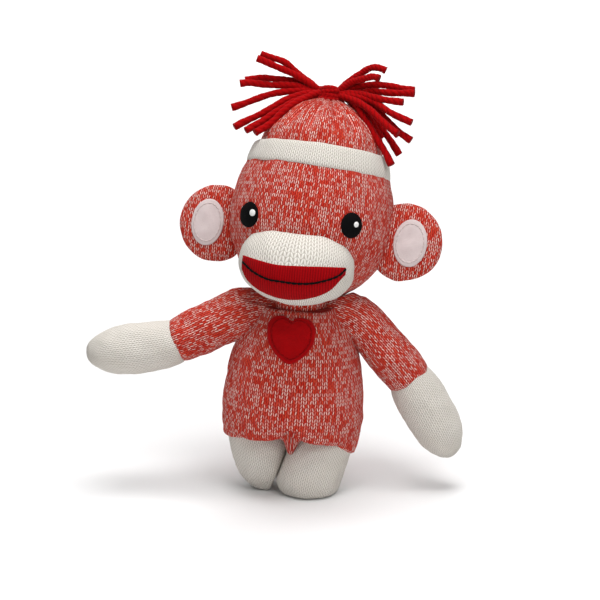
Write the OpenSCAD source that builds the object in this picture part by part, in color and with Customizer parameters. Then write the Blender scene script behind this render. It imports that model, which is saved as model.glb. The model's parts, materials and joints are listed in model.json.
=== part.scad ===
// Stuffed knit monkey, standing on two short legs with its tail behind it.
// Millimetres, +Z up, the face looks towards -Y and the floor is at Z = 0.
// Left and right are the monkey's own: its right side is at -X.

/* [Fabric] */
// Thickness of the knit skins
skin = 1.2; // [0.8:0.1:2]
// Clearance between pieces that lie on each other
seat = 0.3; // [0.2:0.05:0.6]
// Thickness of felt patches and embroidery
patch = 0.8; // [0.5:0.1:1.5]
// Thickness of the sewing thread
thread = 0.7; // [0.4:0.1:1.2]

/* [Torso] */
// Height of the seat above the floor
seat_height = 28.3; // [24:0.1:32]
// Height from the seat to the top of the shoulders
torso_height = 65; // [60:0.5:67]
// Largest half width
torso_half_width = 33; // [31:0.5:35]
// Height of the widest place above the seat
torso_waist = 12; // [10:0.5:16]
// Depth as a share of the width
torso_flatness = 0.74; // [0.66:0.01:0.85]
// Sideways lean towards the monkey's left
torso_lean = 4; // [0:0.5:6]

/* [Heart] */
// Width of the heart patch
heart_width = 21.6; // [14:0.2:26]
// Height of the heart patch
heart_height = 23; // [16:0.2:28]
// Drop of the heart's centre below the shoulders
heart_drop = 18; // [15:0.5:24]

/* [Neck] */
// Height of the neck's centre above the shoulders
neck_rise = 0.5; // [0:0.5:4]
// Radius of the stuffed neck
neck_radius = 14.5; // [12:0.5:15]

/* [Head] */
// Radius of the head
head_radius = 36.8; // [35:0.2:38]
// Height of the crown of the head above its centre
head_crown = 50; // [46:0.5:52]
// Distance from the neck's centre to the head's centre
head_rise = 34; // [33:0.5:37]
// Turn of the face towards the monkey's right
head_turn = 12; // [0:1:20]
// Tip of the head backwards
head_tip = 16; // [8:1:18]
// Tilt of the head towards the monkey's left
head_tilt = 8.5; // [0:0.5:12]

/* [Face] */
// Half width of the muzzle
muzzle_half_width = 26.3; // [22:0.1:29]
// Half depth of the muzzle
muzzle_half_depth = 20; // [17:0.1:22]
// Half height of the muzzle
muzzle_half_height = 16.7; // [14:0.1:18]
// How far the muzzle's centre lies in front of the head's axis
muzzle_forward = 22; // [20:0.5:25]
// How far the muzzle's centre lies below the head's centre
muzzle_drop = 22.4; // [20:0.2:24]
// Half width of the mouth
mouth_half_width = 22.5; // [16:0.5:24]
// Height of the mouth below the lip line
mouth_height = 14.5; // [10:0.5:15]
// Sag of the smile line
smile_sag = 7.5; // [4:0.5:10]
// Angle of each eye from the middle of the face
eye_angle = 40; // [34:1:44]
// Width of an eye
eye_width = 10; // [7:0.5:12]
// Height of an eye
eye_height = 11.5; // [8:0.5:13]
// Diameter of the light dot in an eye
glint_width = 2.8; // [1.5:0.1:4]

/* [Hat] */
// Height of the middle of the hat band above the head's centre
band_level = 28.8; // [27:0.2:31]
// Height of the rolled hat band
band_height = 9; // [7:0.5:10]
// Thickness of the rolled hat band
band_thickness = 2.3; // [1.6:0.1:3]
// Height of the hat above the top of its band
hat_height = 24.5; // [21:0.5:28]

/* [Pompom] */
// Radius of the tied knot
knot_radius = 6; // [5:0.1:7]
// Thickness of the yarn
yarn = 2.7; // [2:0.1:2.8]
// Length of the yarn ends
yarn_length = 40; // [30:1:46]
// Radius of the curve in which the ends droop
yarn_droop = 30; // [26:1:50]

/* [Ears] */
// Radius of an ear
ear_radius = 17.2; // [14:0.2:19]
// Half thickness of an ear
ear_half_thickness = 4.2; // [3:0.1:5]
// Height of the ears' centres below the head's centre
ear_drop = 4.7; // [0:0.1:8]
// How far the ear's middle stands off the head
ear_reach = 7.5; // [5:0.5:10]
// Width of the felt oval in the ear
ear_felt_width = 15.2; // [10:0.2:17]
// Height of the felt oval in the ear
ear_felt_height = 21.4; // [14:0.2:24]

/* [Arms] */
// Distance of the shoulder from the middle of the torso
shoulder_out = 29.9; // [29.7:0.1:31]
// Height of the shoulders above the seat
shoulder_level = 53.5; // [50:0.5:55]
// Radius of the stuffed shoulder
shoulder_radius = 11.5; // [10.5:0.1:12]
// Length of the sleeve from the shoulder to the cuff
sleeve_length = 33; // [30:0.5:38]
// Radius of the sleeve
sleeve_radius = 11.2; // [9.5:0.1:12]
// Length of the hand
hand_length = 42; // [34:0.5:46]
// Radius of the hand
hand_radius = 11; // [9:0.1:12]
// Slope of the right sleeve below level
right_arm_slope = 25; // [15:1:35]
// Bend of the right hand upwards
right_arm_bend = 18; // [0:1:25]
// Slope of the left sleeve below level
left_arm_slope = 50; // [45:1:54]
// Bend of the left hand downwards
left_arm_bend = 15; // [0:1:20]

/* [Legs] */
// Distance of the hip from the middle of the torso
hip_out = 15.5; // [15:0.1:17]
// Height of the hips above the seat
hip_level = 3; // [2:0.5:4]
// Radius of the stuffed hip
hip_radius = 14; // [13:0.1:14.4]
// Radius of the foot
foot_radius = 14.4; // [12:0.1:15]
// Length of a leg from the hip to the toe, before the floor flattens it
leg_length = 39; // [36:0.5:41]
// Inward slope of the right leg
right_leg_in = 3; // [0:0.5:6]
// Backward slope of the right leg
right_leg_back = 5; // [0:0.5:8]
// Inward slope of the left leg
left_leg_in = 11; // [8:0.5:16]
// Forward slope of the left leg
left_leg_forward = 13; // [8:0.5:16]
// Slope of the plane in which the two feet meet
feet_slope = 22; // [15:1:26]
// Height at which that plane crosses the middle
feet_meet_height = 24; // [20:0.5:27]

/* [Tail] */
// Height of the tail's root above the seat
tail_level = 10; // [8:0.5:12]
// Distance of the tail's root from the middle, towards the left
tail_side = 2; // [0:0.5:4]
// Radius of the tail
tail_radius = 5.5; // [4:0.1:6]
// How far the tail's root stands off the back
tail_out = 4; // [3.5:0.1:5]
// Slope at which the tail leaves the body
tail_slope = 68; // [62:1:70]
// Turn of the tail towards the left
tail_turn = 18; // [0:1:25]
// Share of the tail that has the white tip
tail_tip_share = 0.3; // [0.2:0.05:0.5]

/* [Placing] */
// Shift that puts the middle of the plan over the origin, across
plan_x = 9.8; // [-20:0.001:20]
// Shift that puts the middle of the plan over the origin, along
plan_y = -20.061; // [-40:0.001:20]

/* [Hidden] */
$fn = 96;
marl = "#c4564b";
white_knit = "#ddd8d0";
red_felt = "#8e0a10";
red_knit = "#8c0a10";
yarn_red = "#9c0d10";
pale_felt = "#d8c8c6";
black = "#101010";
fill = "#f2efe8";
big = 300;
tiny = 0.01;
// Squareness of the stuffed forms, where 2 is an ellipse.
seat_squareness = 4.5;
shoulder_squareness = 2.3;
ear_squareness = 2.4;
sleeve_squareness = 3.2;
hand_squareness = 2.5;
foot_squareness = 2.7;
// Shares of the length or radius by which limbs run on inside their neighbours.
sleeve_root = 0.4;
sleeve_overrun = 1.6;
hand_overlap = 0.3;
foot_root = 0.6;
sleeve_taper = 0.12;
// Heart outline, as shares of its width and height.
heart_shift = -3;
heart_lobe = 0.27;
heart_lobe_out = 0.23;
heart_lobe_level = 0.15;
heart_tip = 0.62;
heart_flank = 36;
heart_step = 18;
heart_notch = 0.4;
heart_reach = 0.4;
heart_margin = 2;
heart_tip_pull = 1.6;
glint_stretch = 1.3;
crown_steps = 12;
hat_fullness = 0.8;
band_roundness = 0.7;
knot_flatness = 0.6;
// Yarn ends in each row, the slope of the rows and the spread of their lengths.
yarn_rows = [11, 8, 4];
yarn_first_rise = 5;
yarn_row_rise = 25.5;
yarn_spread = 0.15;
yarn_scatter = 137;
ear_felt_shift = 2.5;
ear_margin = 1.8;
seat_tilt_shift = 0.4;
tail_bulge = 1.12;
neck_level = torso_height + neck_rise;
heart_level = torso_height - heart_drop;
heart_span = heart_height * heart_reach;
chest_fall = chest_depth(heart_level - heart_span) - chest_depth(heart_level + heart_span);
chest_ends = chest_depth(heart_level - heart_span) + chest_depth(heart_level + heart_span);
chest_tilt = atan(chest_fall / (2 * heart_span));
chest_bow = heart_span ^ 2 / ((2 * chest_depth(heart_level) - chest_ends) * cos(chest_tilt) ^ 3);
ear_offset = sqrt(head_radius ^ 2 - ear_drop ^ 2);
ear_bead = 1.2;
ear_relief = 1.6;
ear_hinge = ear_offset + seat + ear_bead;
hat_base = band_level + band_rise();
knot_level = hat_base + hat_height + knot_radius * knot_flatness + seat;
tail_bulb = tail_radius * tail_bulge;
tail_back = torso_half_width * torso_flatness + tail_out;
tail_drop = seat_height + tail_level * cos(torso_lean) - tail_side * sin(torso_lean) - tail_bulb;
tail_curve = tail_drop / (1 - cos(tail_slope));
tail_seam = seat / (tail_curve * tail_slope * PI / 180);

// Half outline of a stuffed form from bottom to top: squareness 2 is an ellipse.
function oval(radius, bottom, top, squareness, taper = 0, steps = 14) = [
    for (i = [0 : steps])
        let (
            a = -90 + 180 * i / steps,
            c = i == 0 || i == steps ? 0 : pow(abs(cos(a)), 2 / squareness),
            s = sign(sin(a)) * pow(abs(sin(a)), 2 / squareness)
        )
        [radius * c * (1 - taper * (1 + s) / 2), (bottom + top) / 2 + s * (top - bottom) / 2]
];

// Half outline moved inwards by a thickness.
function inset(outline, d) = [
    for (i = [0 : len(outline) - 1])
        let (
            a = outline[max(i - 1, 0)],
            b = outline[min(i + 1, len(outline) - 1)],
            t = (b - a) / norm(b - a),
            p = outline[i] + d * [-t[1], t[0]]
        )
        i == 0 ? outline[i] + [0, d] : i == len(outline) - 1 ? outline[i] - [0, d] : [max(p[0], tiny), p[1]]
];

// Half outline of the torso, full at the seat and sloping at the shoulders.
function torso_half(squareness, height, steps) = [
    for (i = [0 : steps])
        let (
            a = 90 * i / steps,
            c = i == steps ? 0 : pow(cos(a), 2 / squareness),
            s = pow(sin(a), 2 / squareness)
        )
        [torso_half_width * c, height * s]
];
function torso_outline() =
    let (
        low = torso_half(seat_squareness, torso_waist, 6),
        high = torso_half(shoulder_squareness, torso_height - torso_waist, 9)
    )
    concat(
        [for (i = [6 : -1 : 1]) [low[i][0], torso_waist - low[i][1]]],
        [for (p = high) [p[0], torso_waist + p[1]]]
    );

// Radius of the torso above its widest place, and depth of the chest under the middle of the heart.
function torso_radius(level) =
    let (share = (level - torso_waist) / (torso_height - torso_waist))
    torso_half_width * pow(1 - pow(share, shoulder_squareness), 1 / shoulder_squareness);
function chest_depth(level) = torso_flatness * sqrt(torso_radius(level) ^ 2 - heart_shift ^ 2);

// Radius of the crown half of the head at a height above the centre, and its slope at the hat band.
function crown_radius(level) = head_radius * sqrt(1 - (level / head_crown) ^ 2);
function band_slope() = atan(head_radius ^ 2 / head_crown ^ 2 * band_level / crown_radius(band_level));

// Cross section of the rolled band, and how high its upper edge stands over its middle.
function band_outline() = [
    for (a = [0 : 15 : 345])
        let (
            c = sign(cos(a)) * pow(abs(cos(a)), band_roundness),
            s = sign(sin(a)) * pow(abs(sin(a)), band_roundness)
        )
        [band_thickness / 2 * c, band_height / 2 * s]
];
function band_rise() = max([for (p = band_outline()) p[0] * sin(band_slope()) + p[1] * cos(band_slope())]);

module revolve(outline) {
    rotate_extrude() polygon(outline);
}

// Upright oval face, in points around its rim.
module upright_oval(width, height) {
    polygon([for (a = [0 : 15 : 345]) [width / 2 * cos(a), height / 2 * sin(a)]]);
}

module ellipsoid(x, y, z) {
    scale([x / z, y / z, 1]) sphere(z);
}

// Frames of the moving parts.
module in_place() {
    translate([plan_x, plan_y, 0]) children();
}

module in_torso() {
    in_place() translate([seat_tilt_shift, 0, seat_height]) rotate([0, torso_lean, 0]) children();
}

module in_neck() {
    in_torso() translate([0, 0, neck_level]) children();
}

module in_head() {
    in_neck()
        rotate([0, head_tilt - torso_lean, 0])
            rotate([-head_tip, 0, 0])
                rotate([0, 0, -head_turn])
                    translate([0, 0, head_rise])
                        children();
}

module in_ear(side) {
    in_head() translate([side * (ear_offset + ear_reach), 0, -ear_drop]) children();
}

module in_shoulder(side) {
    in_torso()
        translate([side * shoulder_out, 0, shoulder_level])
            rotate([0, -torso_lean, 0])
                children();
}

module in_hip(side) {
    in_torso() translate([side * hip_out, 0, hip_level]) rotate([0, -torso_lean, 0]) children();
}

module in_tail() {
    in_torso()
        translate([tail_side, tail_back, tail_level])
            rotate([0, -torso_lean, 0])
                rotate([0, 0, -tail_turn])
                    children();
}

// Torso.
module torso_form(d) {
    scale([1, torso_flatness, 1]) revolve(inset(torso_outline(), d));
}

module torso_sockets(gap) {
    in_neck() sphere(neck_radius + gap);
    for (side = [-1, 1]) {
        in_shoulder(side) sphere(shoulder_radius + gap);
        in_hip(side) sphere(hip_radius + gap);
    }
    in_tail() sphere(tail_bulb + gap);
}

module torso_skin() {
    color(marl) difference() {
        in_torso() torso_form(0);
        in_torso() torso_form(skin);
        torso_sockets(seat);
    }
}

module torso_stuffing() {
    color(fill) difference() {
        in_torso() torso_form(skin + seat);
        torso_sockets(2 * seat);
    }
}

// Heart.
module heart_outline(margin) {
    lobe = heart_width * heart_lobe - margin;
    tip = heart_height * heart_tip - heart_tip_pull * margin;
    out = heart_width * heart_lobe_out;
    level = heart_height * heart_lobe_level;
    arc = [
        for (a = [-heart_flank : heart_step : 180 - heart_step])
            if (out + lobe * cos(a) > tiny)
                [out + lobe * cos(a), level + lobe * sin(a)]
    ];
    polygon(concat(
        [[0, -tip]],
        arc,
        [[0, level + lobe * heart_notch]],
        [for (i = [len(arc) - 1 : -1 : 0]) [-arc[i][0], arc[i][1]]]
    ));
}

// Frame on the chest where the heart is sewn, facing out of it.
module in_chest() {
    in_torso()
        translate([heart_shift, -chest_depth(heart_level), heart_level])
            rotate([0, 0, atan(heart_shift * torso_flatness ^ 2 / chest_depth(heart_level))])
                rotate([-chest_tilt, 0, 0])
                    children();
}

// Thin layer that bows as the chest does.
module heart_layer(lift, thickness) {
    translate([0, chest_bow, 0]) difference() {
        sphere(chest_bow + lift + thickness);
        sphere(chest_bow + lift);
    }
}

module heart_prism(margin) {
    translate([0, heart_width, 0]) rotate([90, 0, 0]) linear_extrude(2 * heart_width) heart_outline(margin);
}

module heart_patch() {
    color(red_felt) in_chest() intersection() {
        heart_layer(2 * seat, patch);
        heart_prism(0);
    }
}

module heart_stitching() {
    color(red_felt) in_chest() intersection() {
        heart_layer(3 * seat + patch, thread);
        difference() {
            heart_prism(heart_margin);
            heart_prism(heart_margin + thread);
        }
    }
}

// Neck.
module neck_skin() {
    color(marl) in_neck() difference() {
        sphere(neck_radius);
        sphere(neck_radius - skin);
    }
}

module neck_stuffing() {
    color(fill) in_neck() sphere(neck_radius - skin - seat);
}

// Head.
module head_form(d) {
    intersection() {
        sphere(head_radius - d);
        translate([0, 0, -big / 2]) cube([big, big, big], center = true);
    }
    revolve(concat([[0, 0]], [
        for (i = [0 : crown_steps])
            let (a = 90 * i / crown_steps)
            [i == crown_steps ? 0 : (head_radius - d) * cos(a), (head_crown - d) * sin(a)]
    ]));
}

module head_socket(gap) {
    translate([0, 0, -head_rise]) sphere(neck_radius + gap);
}

module head_skin() {
    color(marl) in_head() difference() {
        head_form(0);
        head_form(skin);
        head_socket(seat);
    }
}

module head_stuffing() {
    color(fill) in_head() difference() {
        head_form(skin + seat);
        head_socket(2 * seat);
    }
}

// Muzzle and mouth.
module in_muzzle() {
    translate([0, -muzzle_forward, -muzzle_drop]) children();
}

module muzzle_form(d) {
    in_muzzle() ellipsoid(muzzle_half_width - d, muzzle_half_depth - d, muzzle_half_height - d);
}

module muzzle_back(gap) {
    sphere(head_radius + gap);
    head_socket(gap);
}

module muzzle_skin() {
    color(white_knit) in_head() difference() {
        muzzle_form(0);
        muzzle_form(skin);
        muzzle_back(seat);
    }
}

module muzzle_stuffing() {
    color(fill) in_head() difference() {
        muzzle_form(skin + seat);
        muzzle_back(2 * seat);
    }
}

module mouth_outline() {
    intersection() {
        scale([mouth_half_width / mouth_height, 1]) circle(mouth_height);
        translate([-big / 2, -big]) square([big, big]);
    }
}

module smile_outline() {
    radius = (mouth_half_width ^ 2 + smile_sag ^ 2) / (2 * smile_sag);
    difference() {
        translate([0, radius - smile_sag]) circle(radius);
        translate([0, radius - smile_sag]) circle(radius - thread);
        translate([-big / 2, 0]) square([big, big]);
    }
}

module face_prism() {
    in_muzzle() rotate([90, 0, 0]) linear_extrude(2 * muzzle_half_depth) children();
}

module mouth_patch() {
    color(red_knit) in_head() difference() {
        intersection() {
            muzzle_form(-seat - patch);
            face_prism() mouth_outline();
        }
        muzzle_form(-seat);
    }
}

module smile_stitching() {
    color(black) in_head() difference() {
        intersection() {
            muzzle_form(-2 * seat - patch - thread);
            face_prism() smile_outline();
        }
        muzzle_form(-2 * seat - patch);
    }
}

// Eyes.
module eye_oval(side, width, height, lift, shift) {
    intersection() {
        difference() {
            sphere(head_radius + lift + patch);
            sphere(head_radius + lift);
        }
        rotate([0, 0, side * eye_angle])
            translate([shift, 0, shift])
                rotate([90, 0, 0])
                    linear_extrude(big)
                        upright_oval(width, height);
    }
}

module eye_right() {
    color(black) in_head() eye_oval(-1, eye_width, eye_height, 2 * seat, 0);
}

module eye_left() {
    color(black) in_head() eye_oval(1, eye_width, eye_height, 2 * seat, 0);
}

module eye_glints() {
    color("white") in_head() for (side = [-1, 1])
        eye_oval(side, glint_width, glint_width * glint_stretch, 3 * seat + patch, glint_width / 2);
}

// Hat.
module hat_band() {
    middle = crown_radius(band_level) + (seat + band_thickness / 2) / cos(band_slope());
    color(white_knit) in_head()
        rotate_extrude()
            translate([middle, band_level])
                rotate(band_slope())
                    polygon(band_outline());
}

module hat_form(d) {
    radius = crown_radius(hat_base) + band_thickness + seat;
    revolve(concat([[0, 0]], [
        for (i = [0 : crown_steps])
            let (a = 90 * i / crown_steps)
            [i == crown_steps ? 0 : (radius - d) * pow(cos(a), hat_fullness), (hat_height - d) * sin(a)]
    ]));
}

module hat_crown() {
    color(marl) in_head() translate([0, 0, hat_base + seat]) difference() {
        hat_form(0);
        translate([0, 0, -tiny]) hat_form(skin);
    }
}

// Pompom: a tied knot and the yarn ends that stand out of it in rows and droop.
module pompom_knot() {
    color(yarn_red) in_head()
        translate([0, 0, knot_level + seat])
            scale([1, 1, knot_flatness])
                sphere(knot_radius);
}

module yarn_end(turn, rise, length) {
    sweep = length / yarn_droop * 180 / PI;
    start = knot_radius + seat;
    x = start * cos(rise) + yarn_droop * sin(rise);
    z = start * sin(rise) - yarn_droop * cos(rise);
    rotate([0, 0, turn])
        translate([x, 0, z])
            rotate([90, 0, 0])
                rotate([0, 0, 90 + rise - sweep])
                    rotate_extrude(angle = sweep)
                        translate([yarn_droop, 0])
                            circle(d = yarn);
}

module pompom_yarn() {
    color(yarn_red) in_head() translate([0, 0, knot_level + seat]) for (row = [0 : len(yarn_rows) - 1]) {
        count = yarn_rows[row];
        rise = yarn_first_rise + yarn_row_rise * row;
        for (i = [0 : count - 1])
            let (share = 1 - yarn_spread * (1 - sin(yarn_scatter * (i + len(yarn_rows) * row))))
            yarn_end(360 * (i + row / 2) / count, rise, yarn_length * share);
    }
}

// Ears.
module ear_form(d) {
    outline = oval(ear_radius, -ear_half_thickness, ear_half_thickness, ear_squareness);
    rotate([90, 0, 0]) revolve(inset(outline, d));
}

module ear_cut(side, gap) {
    translate([-side * (ear_offset + ear_reach), 0, ear_drop]) sphere(head_radius + ear_relief + gap);
}

module ear_hem(side) {
    translate([side * (ear_hinge - ear_offset - ear_reach), 0, 0])
        cylinder(r = ear_bead, h = ear_radius, center = true);
}

module ear_skin(side) {
    color(marl) in_ear(side) difference() {
        union() {
            difference() {
                ear_form(0);
                ear_cut(side, 0);
            }
            ear_hem(side);
        }
        difference() {
            ear_form(skin);
            ear_cut(side, 2 * skin);
        }
    }
}

module ear_stuffing(side) {
    color(fill) in_ear(side) difference() {
        ear_form(skin + seat);
        ear_cut(side, 2 * skin + seat);
    }
}

module ear_felt_prism(margin) {
    rotate([90, 0, 0])
        linear_extrude(2 * ear_half_thickness)
            upright_oval(ear_felt_width - 2 * margin, ear_felt_height - 2 * margin);
}

module ear_felt(side) {
    color(pale_felt) in_ear(side) difference() {
        intersection() {
            ear_form(-seat - patch);
            translate([side * ear_felt_shift, 0, 0]) ear_felt_prism(0);
        }
        ear_form(-seat);
    }
}

module ear_stitching(side) {
    color(pale_felt) in_ear(side) difference() {
        intersection() {
            ear_form(-2 * seat - patch - thread);
            translate([side * ear_felt_shift, 0, 0]) difference() {
                ear_felt_prism(ear_margin);
                ear_felt_prism(ear_margin + thread);
            }
        }
        ear_form(-2 * seat - patch);
    }
}

module ear_skin_right() ear_skin(-1);
module ear_stuffing_right() ear_stuffing(-1);
module ear_felt_right() ear_felt(-1);
module ear_stitching_right() ear_stitching(-1);
module ear_skin_left() ear_skin(1);
module ear_stuffing_left() ear_stuffing(1);
module ear_felt_left() ear_felt(1);
module ear_stitching_left() ear_stitching(1);

// Arms: a ball at the shoulder, a sleeve and a hand that meet on a mitred cuff.
function slope(side) = side < 0 ? right_arm_slope : left_arm_slope;
function bend(side) = side < 0 ? -right_arm_bend : left_arm_bend;

module in_arm(side) {
    in_shoulder(side) rotate([0, side * (90 + slope(side)), 0]) children();
}

module in_cuff(side, share) {
    translate([0, 0, sleeve_length]) rotate([0, side * bend(side) * share, 0]) children();
}

module sleeve_form(side, d) {
    root = shoulder_radius * sleeve_root;
    end = sleeve_length * sleeve_overrun;
    outline = oval(sleeve_radius, root, end, sleeve_squareness, sleeve_taper);
    sphere(shoulder_radius - d);
    intersection() {
        revolve(inset(outline, d));
        in_cuff(side, 0.5) translate([0, 0, -big / 2]) cube([big, big, big], center = true);
    }
}

module hand_form(side, d, gap) {
    outline = oval(hand_radius, -hand_length * hand_overlap, hand_length, hand_squareness);
    intersection() {
        in_cuff(side, 1) revolve(inset(outline, d));
        in_cuff(side, 0.5) translate([0, 0, big / 2 + gap]) cube([big, big, big], center = true);
    }
}

module sleeve(side) {
    color(marl) in_arm(side) difference() {
        sleeve_form(side, 0);
        union() {
            sleeve_form(side, skin);
            hand_form(side, skin, -seat);
        }
    }
}

module hand(side) {
    color(white_knit) in_arm(side) difference() {
        hand_form(side, 0, seat / 2);
        hand_form(side, skin, 0);
    }
}

module arm_stuffing(side) {
    color(fill) in_arm(side) union() {
        sleeve_form(side, skin + seat);
        hand_form(side, skin + seat, 0);
    }
}

module sleeve_right() sleeve(-1);
module hand_right() hand(-1);
module arm_stuffing_right() arm_stuffing(-1);
module sleeve_left() sleeve(1);
module hand_left() hand(1);
module arm_stuffing_left() arm_stuffing(1);

// Legs: a ball at the hip and a foot flattened by the floor, parted by a sloping plane.
module in_leg(side) {
    in_hip(side)
        rotate([side < 0 ? right_leg_back : -left_leg_forward, 0, 0])
            rotate([0, side < 0 ? -right_leg_in : left_leg_in, 0])
                children();
}

module leg_room(side, d) {
    in_place() intersection() {
        translate([0, 0, big / 2 + d]) cube([big, big, big], center = true);
        translate([0, 0, feet_meet_height])
            rotate([0, feet_slope, 0])
                translate([side * (big / 2 + seat / 2 + d), 0, 0])
                    cube([big, big, 2 * big], center = true);
    }
}

module foot_form(d) {
    outline = oval(foot_radius, hip_radius * foot_root, leg_length, foot_squareness);
    rotate([180, 0, 0]) revolve(inset(outline, d));
}

module thigh(side) {
    color(marl) intersection() {
        in_leg(side) difference() {
            sphere(hip_radius);
            sphere(hip_radius - skin);
            foot_form(skin);
        }
        leg_room(side, 0);
    }
}

module foot(side) {
    color(white_knit) difference() {
        intersection() {
            in_leg(side) foot_form(0);
            leg_room(side, 0);
        }
        intersection() {
            in_leg(side) foot_form(skin);
            leg_room(side, skin);
        }
        in_leg(side) sphere(hip_radius + seat / 2);
    }
}

module leg_stuffing(side) {
    color(fill) intersection() {
        in_leg(side) union() {
            sphere(hip_radius - skin - seat);
            foot_form(skin + seat);
        }
        leg_room(side, skin + seat);
    }
}

module thigh_right() thigh(-1);
module foot_right() foot(-1);
module leg_stuffing_right() leg_stuffing(-1);
module thigh_left() thigh(1);
module foot_left() foot(1);
module leg_stuffing_left() leg_stuffing(1);

// Tail: leaves the lower back, curves down and lies out on the floor.
module tail_arc(radius, from, to) {
    translate([0, tail_curve * sin(tail_slope), tail_curve * cos(tail_slope)])
        rotate([90, 0, 90])
            rotate([0, 0, 270 - tail_slope * (1 - from)])
                rotate_extrude(angle = tail_slope * (to - from))
                    translate([tail_curve, 0])
                        circle(radius);
}

module tail_skin() {
    color(marl) in_tail() difference() {
        union() {
            sphere(tail_bulb);
            tail_arc(tail_radius, 0, 1 - tail_tip_share);
        }
        sphere(tail_bulb - skin);
        tail_arc(tail_radius - skin, 0, 1);
    }
}

module tail_end(radius) {
    translate([0, tail_curve * sin(tail_slope), -tail_drop]) sphere(radius);
}

module tail_tip() {
    color(white_knit) in_tail() difference() {
        union() {
            tail_arc(tail_radius, 1 - tail_tip_share + tail_seam, 1);
            tail_end(tail_bulb);
        }
        tail_arc(tail_radius - skin, 0, 1);
        tail_end(tail_bulb - skin);
    }
}

module tail_stuffing() {
    color(fill) in_tail() union() {
        sphere(tail_bulb - skin - seat);
        tail_arc(tail_radius - skin - seat, 0, 1);
        tail_end(tail_bulb - skin - seat);
    }
}

torso_skin();
torso_stuffing();
heart_patch();
heart_stitching();
neck_skin();
neck_stuffing();
head_skin();
head_stuffing();
muzzle_skin();
muzzle_stuffing();
mouth_patch();
smile_stitching();
eye_right();
eye_left();
eye_glints();
hat_crown();
hat_band();
pompom_knot();
pompom_yarn();
ear_skin_right();
ear_stuffing_right();
ear_felt_right();
ear_stitching_right();
ear_skin_left();
ear_stuffing_left();
ear_felt_left();
ear_stitching_left();
sleeve_right();
hand_right();
arm_stuffing_right();
sleeve_left();
hand_left();
arm_stuffing_left();
thigh_right();
foot_right();
leg_stuffing_right();
thigh_left();
foot_left();
leg_stuffing_left();
tail_skin();
tail_tip();
tail_stuffing();
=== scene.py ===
import json
import math

import bpy
import numpy as np
from mathutils import Matrix, Vector
from mathutils.bvhtree import BVHTree


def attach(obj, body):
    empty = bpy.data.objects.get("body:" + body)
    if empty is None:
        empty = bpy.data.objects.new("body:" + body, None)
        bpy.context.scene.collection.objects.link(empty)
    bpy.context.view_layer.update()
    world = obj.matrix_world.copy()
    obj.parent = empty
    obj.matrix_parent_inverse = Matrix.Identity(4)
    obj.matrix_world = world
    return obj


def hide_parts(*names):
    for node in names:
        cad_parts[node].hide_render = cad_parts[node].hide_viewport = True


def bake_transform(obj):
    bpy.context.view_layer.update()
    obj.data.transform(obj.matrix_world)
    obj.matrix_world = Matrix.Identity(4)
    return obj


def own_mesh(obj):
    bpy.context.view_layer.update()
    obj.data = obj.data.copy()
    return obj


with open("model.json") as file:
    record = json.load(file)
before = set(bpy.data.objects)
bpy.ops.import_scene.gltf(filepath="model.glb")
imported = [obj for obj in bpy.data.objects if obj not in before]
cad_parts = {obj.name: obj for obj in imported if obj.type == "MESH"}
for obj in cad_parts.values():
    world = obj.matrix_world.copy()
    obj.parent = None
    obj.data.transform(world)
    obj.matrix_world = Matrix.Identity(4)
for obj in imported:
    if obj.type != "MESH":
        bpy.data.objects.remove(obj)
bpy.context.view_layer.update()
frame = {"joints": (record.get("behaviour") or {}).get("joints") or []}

bl_info = {
    "name": "Stuffed knit monkey",
    "version": (1, 0, 0),
    "blender": (4, 5, 0),
    "location": "View3D > Sidebar > Monkey",
    "description": "Sews the knit skins, felt, embroidery and yarn of a stuffed monkey over its frame",
    "category": "Add Mesh",
}

MM = 0.001
# Spacing of the felt's mottle and of its fibres, in millimetres.
FELT_MOTTLE, FELT_FIBRE = 3.8461538, 0.5882353
JOINTS = {joint["name"]: joint for joint in frame["joints"]}


def spot(name):
    """A joint's pivot in millimetres."""
    return np.array(JOINTS[name]["pos_m"]) * 1000


def line(name):
    """A joint's axis."""
    return np.array(JOINTS[name]["axis"])


# The torso's and head's own axes: x to the monkey's left, y back, z up.
NECK = spot("neck_turn")
TORSO_AXES = np.column_stack([np.cross([0, 1, 0], line("neck_turn")), [0, 1, 0], line("neck_turn")])
HEAD_X, HEAD_Z = line("neck_nod"), line("ear_right_flex")
HEAD_AXES = np.column_stack([HEAD_X, np.cross(HEAD_Z, HEAD_X), HEAD_Z])
# How far the seat lies under the neck and the head's middle over it.
SEAT_DROP, HEAD_RISE = 65.5, 34.0
SEAT = NECK - SEAT_DROP * TORSO_AXES[:, 2]
HEAD = NECK + HEAD_RISE * HEAD_AXES[:, 2]
SIDES = {"right": -1, "left": 1}
# The plane in which the two feet press against each other, through the seam under the seat.
FEET_SLOPE = math.radians(22)
FEET_PLANE = np.array([math.cos(FEET_SLOPE), 0, -math.sin(FEET_SLOPE)])
FEET_POINT = np.array([SEAT[0] - 0.4, SEAT[1], 24.0])


def linear(code):
    """Linear RGBA of an sRGB hex colour."""
    parts = [int(code[i : i + 2], 16) / 255 for i in (1, 3, 5)]
    return (*[c / 12.92 if c <= 0.04045 else ((c + 0.055) / 1.055) ** 2.4 for c in parts], 1.0)


def length(name, description, default):
    """A length that the user may change, given in millimetres."""
    return bpy.props.FloatProperty(
        name=name, description=description, default=default * MM, min=0, unit="LENGTH", precision=4
    )


def colour(name, description, code):
    """A colour that the user may change."""
    return bpy.props.FloatVectorProperty(
        name=name, description=description, subtype="COLOR", size=4, min=0, max=1, default=linear(code)
    )


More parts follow.
